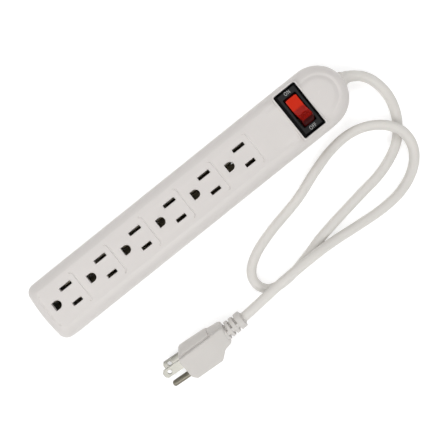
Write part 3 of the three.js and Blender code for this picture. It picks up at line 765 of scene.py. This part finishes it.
# ---------- the switch ----------
def switch_bezel():
    def frame_outline(inset):
        return rounded_rectangle(
            SWITCH_X, 0, BEZEL_LENGTH - 2 * inset, BEZEL_WIDTH - 2 * inset, max(1.0 - inset, 0.15))

    def body_outline(inset):
        return rounded_rectangle(
            SWITCH_X, 0, BODY_LENGTH - 2 * inset, BODY_WIDTH - 2 * inset, 0.5 - inset / 2)

    bezel = stack(frame_outline, [
        (BEZEL_BOTTOM, 0.1), (BEZEL_BOTTOM + 0.1, 0), (BEZEL_TOP - 0.95, 0), (BEZEL_TOP - 0.86, 0.04),
        (BEZEL_TOP - 0.1, 1.5), (BEZEL_TOP - 0.03, 1.65), (BEZEL_TOP, 1.85),
    ])
    body = stack(body_outline, [*rounded(SWITCH_LOW.z, 0.4, -1, 3), (BEZEL_BOTTOM + 0.5, 0)])
    combine(bezel, [body], "UNION")
    floor_top = SWITCH_LOW.z + BODY_WALL
    hollow = block(
        (SWITCH_X - BODY_LENGTH / 2 + BODY_WALL, BODY_WALL - BODY_WIDTH / 2, floor_top),
        (SWITCH_X + BODY_LENGTH / 2 - BODY_WALL, BODY_WIDTH / 2 - BODY_WALL, BEZEL_BOTTOM),
    )
    ends = [(SWITCH_X + side * OPENING_LENGTH / 2, 0, PIVOT.z) for side in (-1, 1)]
    swing = rod(ROCKER_REACH + 0.3, *ends, 96)
    above = block((SWITCH_X - 9, -20, 19), (SWITCH_X + 9, 20, 40))
    combine(swing, [above], "INTERSECT")
    lip = [(z, -inset) for z, inset in rounded(BEZEL_TOP, 0.3, 1, 4)]
    opening = stack(
        plate(SWITCH_X, OPENING_LENGTH, OPENING_WIDTH, 0.6, 4),
        [(BEZEL_TOP - 1.2, 0), *lip, (BEZEL_TOP + 1, -0.3)],
    )
    slots = []
    for node in ("load_terminal", "line_terminal", "lamp_terminal"):
        low, high = span(node)
        y = (low.y + high.y) / 2
        slots.append(block((low.x - GAP, y - 0.7, 5), (high.x + GAP, y + 0.7, floor_top + 0.5)))
    combine(bezel, [hollow, swing, opening, *slots])
    finish_piece(bezel, "switch_frame", BLACK, ["switch_housing"])


def lettering(text, y, shift=0.0):
    """Raised capitals on the bezel's top face."""
    curve = bpy.data.curves.new(text, "FONT")
    curve.body = text
    curve.size = 3.7 * MM
    curve.space_character = 1.15
    curve.align_x = "CENTER"
    curve.align_y = "CENTER"
    curve.extrude = 0.09 * MM
    curve.bevel_depth = 0.02 * MM
    curve.offset = -0.035 * MM
    made = bpy.data.objects.new(text, curve)
    scene.collection.objects.link(made)
    graph = bpy.context.evaluated_depsgraph_get()
    graph.update()
    mesh = bpy.data.meshes.new_from_object(made.evaluated_get(graph))
    bpy.data.objects.remove(made)
    narrow = Matrix.Diagonal((0.72, 1, 1, 1))
    mesh.transform(Matrix.Translation(Vector((SWITCH_X + shift, y, BEZEL_TOP + 0.02)) * MM) @ narrow)
    letters = bpy.data.objects.new(f"word_{text.lower()}", mesh)
    scene.collection.objects.link(letters)
    mesh.materials.clear()
    mesh.materials.append(INK)
    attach(letters, "housing")


def pad_height(y):
    """Height of the rocker's dished pads over the pivot, from the valley at its middle out to a tip."""
    share = 1 - abs(y) / ROCKER_TIP.x
    sag = 0.35 * math.sin(math.pi * share) * (1 - 0.3 * share)
    return ROCKER_TIP.y + (ROCKER_VALLEY - ROCKER_TIP.y) * share - sag


def rocker_profile():
    """The rocker's side view, as (y, z) about its pivot: two pads with a soft valley between them."""
    tip_angle = math.degrees(math.atan2(ROCKER_TIP.y, ROCKER_TIP.x))
    skirt_angle = math.degrees(math.asin(3.5 / ROCKER_REACH))

    def half(edge, end_angle):
        pad = [(edge * (1 - i / 12), pad_height(edge * (1 - i / 12))) for i in range(12)]
        return [*arc(0, 0, ROCKER_REACH, skirt_angle, end_angle, 10), *pad]

    under = [(2.6, -3), (2.6, 4.3), (7.6, 5.9), (10.4, 3.3)]
    on_half = [*under, *half(ON_EDGE, 30)]
    off_half = [(-y, z) for y, z in reversed([*under, *half(ROCKER_TIP.x, tip_angle)])]
    return [*on_half, (0, ROCKER_VALLEY), *off_half]


def rocker():
    """Drawn about its pivot, then turned to the ON position and moved there."""
    profile = rocker_profile()
    half = ROCKER_WIDTH / 2
    corners = [(-half, 0.9), (0.25 - half, 0.45), (0.6 - half, 0.2), (1.2 - half, 0)]
    corners += [(-x, inset) for x, inset in reversed(corners)]
    body = loft([[(x, y * (1 - inset / ROCKER_REACH), z) for y, z in profile] for x, inset in corners])
    soften(body, 0.25, 40)
    pins = rod(1.2, (-7, 0, 0), (7, 0, 0))
    combine(body, [pins], "UNION")
    ribs = []
    for i in range(5):
        y = RIB_START + RIB_SPACING * i
        ribs.append(rod(RIB_RADIUS, (-3.5, y, pad_height(y)), (3.5, y, pad_height(y)), 12))
    combine(body, ribs, "UNION")
    bore = rod(1.8, (0, 0, -4), (0, 0, 4.2))
    combine(body, [bore])
    body.data.transform(Matrix.Translation(PIVOT * MM) @ Matrix.Rotation(REST_TILT, 4, "X"))
    finish_piece(body, "rocker_key", RED, ["switch_rocker"], "rocker")


switch_bezel()
lettering("ON", 13.6, 0.3)
lettering("OFF", -13.7)
rocker()


# ---------- the lead's strain relief ----------
def round_loft(stations):
    """A skin through circles square to the line of their centres: stations (x, y, z, radius)."""
    centres = [Vector(station[:3]) for station in stations]
    rings = []
    for i, (centre, station) in enumerate(zip(centres, stations)):
        along = (centres[min(i + 1, len(centres) - 1)] - centres[max(i - 1, 0)]).normalized()
        across = Vector((0, 0, 1)).cross(along).normalized()
        up = along.cross(across)
        rings.append([centre + across * x + up * y for x, y in circle(station[3], 40)])
    return loft(rings)


def strain_relief():
    """A flange inside the wall, a neck in its hole, a rounded ring outside and a sleeve that tapers."""
    z = PARTING_Z
    relief = round_loft([
        (114, 0, z, 4.7), (114.2, 0, z, 4.9), (118.9, 0, z, 4.9), (119, 0, z, 5.9), (119.2, 0, z, 6.1),
        (124, 0, z, 6.1), (124.2, 0, z, 5.9), (124.4, 0, z, 4.6), (128.3, 0, z, 4.6), (128.4, 0, z, 5.5),
        (128.6, 0, z, 5.72), (128.9, 0, z, 5.78), (130.1, 0, z, 5.78), (130.35, 0, z, 5.7), (130.5, 0, z, 5.4),
        (130.6, -0.05, z, 4.7), (130.8, -0.15, z, 4.55), (133.2, -0.75, z - 0.25, 4.45),
        (133.9, -0.97, z - 0.35, 4.35), (134.3, -1.1, z - 0.4, 4.05), (136.7, -2.15, z - 0.85, 3.85),
        (138.6, -3.3, z - 1.25, 3.7), (140.3, -4.5, z - 1.77, 3.58),
    ])
    return finish_piece(relief, "lead_strain_relief", CORD_VINYL, ["cord_strain_relief"])


relief = strain_relief()


# ---------- the plug ----------
# Its own frame: +X towards the blades' tips, +Y towards the ground pin, +Z from the neutral blade to the
# line blade, with the origin between the blades on the front face.
PLUG_POINT = mount_point("plug_face")
PLUG_AXIS = Vector(MOUNTS["plug_face"]["axis"])
PLUG_ROLL = math.radians(-11.8)
PLUG_PLACE = Matrix.Translation(PLUG_POINT * MM) @ Euler(
    (PLUG_ROLL, 0, math.atan2(PLUG_AXIS.y, PLUG_AXIS.x))).to_matrix().to_4x4()
PLUG_LENGTH = 36.6
SLEEVE_END = 51.3
BLADE_LENGTH = 14
BLADE_THICK = 1.5
BLADE_WIDTH = 6.35
BLADE_BURIED = 12
PIN_RADIUS = 2.2
PIN_LENGTH = 14.4


def place_plug(obj):
    obj.data.transform(PLUG_PLACE)


def round_corners(corners, radius):
    """A convex outline with its corners rounded, given as (y, z) corners in order."""
    steps = 5
    outline = []
    points = [Vector(corner) for corner in corners]
    for i, corner in enumerate(points):
        before = (points[i - 1] - corner).normalized()
        after = (points[(i + 1) % len(points)] - corner).normalized()
        half = before.angle(after) / 2
        reach = radius / math.tan(half)
        centre = corner + (before + after).normalized() * (radius / math.sin(half))
        start = corner + before * reach - centre
        end = corner + after * reach - centre
        turn = start.angle_signed(end)
        for k in range(steps + 1):
            angle = -turn * k / steps
            cosine, sine = math.cos(angle), math.sin(angle)
            outline.append(centre + Vector((
                start.x * cosine - start.y * sine, start.x * sine + start.y * cosine)))
    return outline


def plug_section(back, low, high, half, shrink=0.0, radius=1.2):
    """A slice across the plug: its broad faces slope, as the plug lies on one of them."""
    slope = math.tan(-PLUG_ROLL)
    low, high, half = low + shrink, high - shrink, half - shrink
    middle = half - slope * (high - low)
    corners = [(low, -half), (high, -middle), (high, middle), (low, half)]
    return [(-back, y, z) for y, z in round_corners(corners, radius)]


def side_pad(stations):
    """A crowned pad on the plug's low side: stations (back, edge, step, crown) measured from that side."""
    rings = []
    for back, edge, step, crown in stations:
        side = -4.2 - 0.045 * back
        lip = [(side + 2, edge), (side - step + 0.4, edge), (side - step + 0.12, edge - 0.1)]
        arch = [edge * (0.94 - 0.188 * i) for i in range(11)]
        curve = [(side - step - (crown - step) * (1 - (z / edge) ** 2), z) for z in arch]
        outline = [*lip, *curve, *[(y, -z) for y, z in reversed(lip)]]
        rings.append([(-back, y, z) for y, z in outline])
    return loft(rings)


def plug_body():
    body = loft([
        plug_section(0, -3.8, 12.8, 9.2, 0.9, 0.8),
        plug_section(0.12, -3.8, 12.9, 9.25, 0.5, 0.9),
        plug_section(0.5, -3.85, 13.2, 9.4, 0.15, 1.0),
        plug_section(1.0, -3.95, 13.8, 9.6, 0, 1.1),
        plug_section(3.0, -4.25, 15.9, 10.15),
        plug_section(4.2, -4.35, 16.1, 10.2),
        plug_section(22.4, -5.2, 16.1, 9.9),
        plug_section(23.4, -5.25, 16, 9.85),
        plug_section(24.6, -5.3, 15.4, 9.7),
        plug_section(29.0, -5.35, 10.9, 8.8),
        plug_section(30.2, -5.35, 10.2, 8.6),
        plug_section(34.6, -5.4, 9.1, 7.9),
        plug_section(35.4, -5.35, 8.8, 7.5, 0.05),
        plug_section(36.35, -5.1, 8.2, 6.7, 0.3, 1.0),
        plug_section(36.6, -5.0, 8.0, 6.4, 0.8, 0.9),
    ])
    rear = side_pad([
        (23, 6.6, 0.2, 2.6), (27, 6.5, 0.25, 2.3), (31, 6.1, 0.25, 1.6),
        (34.6, 5.6, 0.2, 0.9), (35.8, 5.0, -0.1, 0.2),
    ])
    grip = side_pad([
        (0.6, 6.6, -0.1, 0.05), (1.0, 6.8, 0.4, 0.6), (3.4, 6.9, 1.5, 4.0),
        (4.6, 6.9, 1.7, 4.7), (6, 6.9, 1.7, 4.75), (22, 6.8, 1.4, 3.7),
        (25.4, 6.7, 1.2, 3.4), (25.9, 6.5, 0.9, 3.2), (26.1, 6.2, 0.5, 2.9),
    ])
    combine(body, [rear, grip], "UNION")
    pockets = []
    for side in (-1, 1):
        z = side * BLADE_SPACING / 2
        half_y, half_z = BLADE_WIDTH / 2 + GAP / 2, BLADE_THICK / 2 + GAP / 2
        pockets.append(block((-BLADE_BURIED - GAP, -half_y, z - half_z), (5, half_y, z + half_z)))
    pin = (-BLADE_BURIED - GAP, GROUND_OFFSET, 0)
    pockets.append(rod(PIN_RADIUS + GAP / 2, pin, (5, GROUND_OFFSET, 0)))
    return combine(body, pockets)


def ribbed_sleeve():
    """The plug's relief: a collar and three round ribs on a core, tied together by a spine on each side."""
    start, core, radius = PLUG_LENGTH - 2.5, 4.3, 6.1
    length = SLEEVE_END - start
    core_stations = [(0, core), (length, core), (length + 0.5, 4.1), (length + 0.9, 3.7)]
    sleeve = lathe(core_stations, (0, 0, 0), (0, 0, 1), 40)
    soft = 0.55
    rings = []
    for low, high in ((start, 37.35), (38.65, 41.2), (42.5, 45.4), (46.75, SLEEVE_END)):
        edges = rounded(low - start, soft, -1, 4) + rounded(high - start, soft, 1, 4)
        rings.append(lathe([(z, radius - inset) for z, inset in edges], (0, 0, 0), (0, 0, 1), 48))
    combine(sleeve, rings, "UNION")
    spines = []
    for side in (-1, 1):
        y_low, y_high = sorted((side * 3, side * 5.75))
        spine = block((-1.5, y_low, 1), (1.5, y_high, length - 1))
        spines.append(soften(spine, 0.4))
    combine(sleeve, spines, "UNION")
    first = Vector((-start, 1.72, 0))
    last = Vector((-SLEEVE_END, 0.21, 0))
    along = (last - first).normalized()
    across = Vector((0, 0, 1)).cross(along)
    turn = Matrix((across, Vector((0, 0, 1)), along)).transposed().to_4x4()
    sleeve.data.transform(Matrix.Translation(first * MM) @ turn)
    return sleeve


def plug_shell():
    body = plug_body()
    combine(body, [ribbed_sleeve()], "UNION")
    place_plug(body)
    return finish_piece(body, "plug_moulding", PLUG_VINYL, ["plug_body"])


def plug_blade(side, name, node):
    z = side * BLADE_SPACING / 2
    half, chamfer = BLADE_WIDTH / 2, 1.5
    outline = [
        (-BLADE_BURIED, -half), (BLADE_LENGTH - chamfer, -half), (BLADE_LENGTH - 0.25, chamfer - half),
        (BLADE_LENGTH, chamfer - half + 0.5), (BLADE_LENGTH, half - chamfer - 0.5),
        (BLADE_LENGTH - 0.25, half - chamfer), (BLADE_LENGTH - chamfer, half), (-BLADE_BURIED, half),
    ]
    faces = (z - BLADE_THICK / 2, z + BLADE_THICK / 2)
    blade = loft([[(x, y, height) for x, y in outline] for height in faces])
    hole = BLADE_LENGTH - 4.6
    combine(blade, [rod(1.6, (hole, 0, z - 3), (hole, 0, z + 3))])
    soften(blade, 0.2)
    place_plug(blade)
    return finish_piece(blade, name, NICKEL, [node])


def ground_pin():
    """A rolled tube of sheet with a closed, rounded nose and a seam along one side."""
    nose = [(BLADE_BURIED + PIN_LENGTH - 1.9 + 1.9 * math.sin(a), PIN_RADIUS * math.cos(a) ** 0.7)
            for a in (0, 0.3, 0.6, 0.85, 1.05, 1.2)]
    pin = lathe([(0, PIN_RADIUS), *nose], (-BLADE_BURIED, GROUND_OFFSET, 0), (1, 0, 0), 40)
    seam = block((0.6, GROUND_OFFSET - 4, -0.2), (PIN_LENGTH - 2.4, GROUND_OFFSET - PIN_RADIUS + 0.5, 0.2))
    combine(pin, [seam])
    place_plug(pin)
    return finish_piece(pin, "ground_prong", PIN_METAL, ["plug_ground_pin"])


plug = plug_shell()
line_blade = plug_blade(1, "line_prong", "plug_line_blade")
neutral_blade = plug_blade(-1, "neutral_prong", "plug_neutral_blade")
pin = ground_pin()


# ---------- finishes for the pieces that keep their CAD shape ----------
KEPT = {
    "rating_label": LABEL, "line_bus_bar": BRASS, "neutral_bus_bar": BRASS, "ground_bus_bar": BRASS,
    "switch_plunger": NYLON, "switch_spring": SPRING_STEEL, "switch_contact_arm": BRASS,
    "load_terminal": BRASS, "line_terminal": BRASS, "lamp_terminal": BRASS, "neon_lamp": GLASS,
    "lamp_resistor": RESISTOR, "live_lead": LEAD_BLACK, "switched_lead": LEAD_BLACK,
    "neutral_lead": LEAD_WHITE, "lamp_lead": LEAD_WHITE, "ground_lead": LEAD_GREEN,
}
for name, material in KEPT.items():
    mesh = frame["nodes"][name].data
    mesh.materials.clear()
    mesh.materials.append(material)


# ---------- the lead rides with the housing ----------
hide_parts("power_cord")
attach(cord, "housing")


# ---------- floor and light ----------
def floor():
    mesh = bmesh.new()
    bmesh.ops.create_grid(mesh, x_segments=1, y_segments=1, size=4000)
    made = solid(mesh, "floor")
    made.location.z = -0.02 * MM
    nodes = Finish("pale_floor")
    nodes.set(Base_Color=nodes.mix(nodes.noise(90, 2), (0.59, 0.59, 0.59, 1), (0.61, 0.61, 0.61, 1)))
    nodes.set(Roughness=0.9, Specular_IOR_Level=0.1, Emission_Color=(1, 1, 1, 1), Emission_Strength=0.52)
    made.data.materials.append(nodes.material)


def softbox(name, position, power):
    """A square light that points at the origin."""
    light = bpy.data.lights.new(name, "AREA")
    light.size = 0.5
    light.energy = power
    made = bpy.data.objects.new(name, light)
    made.location = position
    made.rotation_mode = "QUATERNION"
    made.rotation_quaternion = (-Vector(position)).to_track_quat("-Z", "Y")
    scene.collection.objects.link(made)


floor()
SOFTBOXES = {  # direction round the object in degrees, distance, height and power
    "front": (-100, 0.7, 0.8, 4.6), "left": (-175, 0.7, 0.8, 3.4),
    "right": (5, 0.7, 0.8, 2.1), "back": (85, 0.6, 0.75, 3.5),
}
for name, (around, reach, height, power) in SOFTBOXES.items():
    around = math.radians(around)
    position = (reach * math.cos(around), reach * math.sin(around), height)
    softbox(f"{name}_softbox", position, power)


def studio():
    """A white room that is darker overhead and towards +Y."""
    world = bpy.data.worlds.new("studio")
    world.use_nodes = True
    room = Tree(world.node_tree)
    direction = room.node("ShaderNodeTexCoord").outputs["Generated"]
    split = room.node("ShaderNodeSeparateXYZ", Vector=direction)
    overhead = room.ramp(split.outputs["Z"], 0.2, 0.95, 0.62, 0.12)
    behind = room.ramp(split.outputs["Y"], -0.1, 0.5, 1, 0.45)
    background = world.node_tree.nodes["Background"]
    room.put(room.maths("MULTIPLY", overhead, behind), background.inputs["Strength"])
    room.put((1, 1, 1, 1), background.inputs["Color"])
    return world


scene.world = studio()
scene.view_settings.view_transform = "Standard"
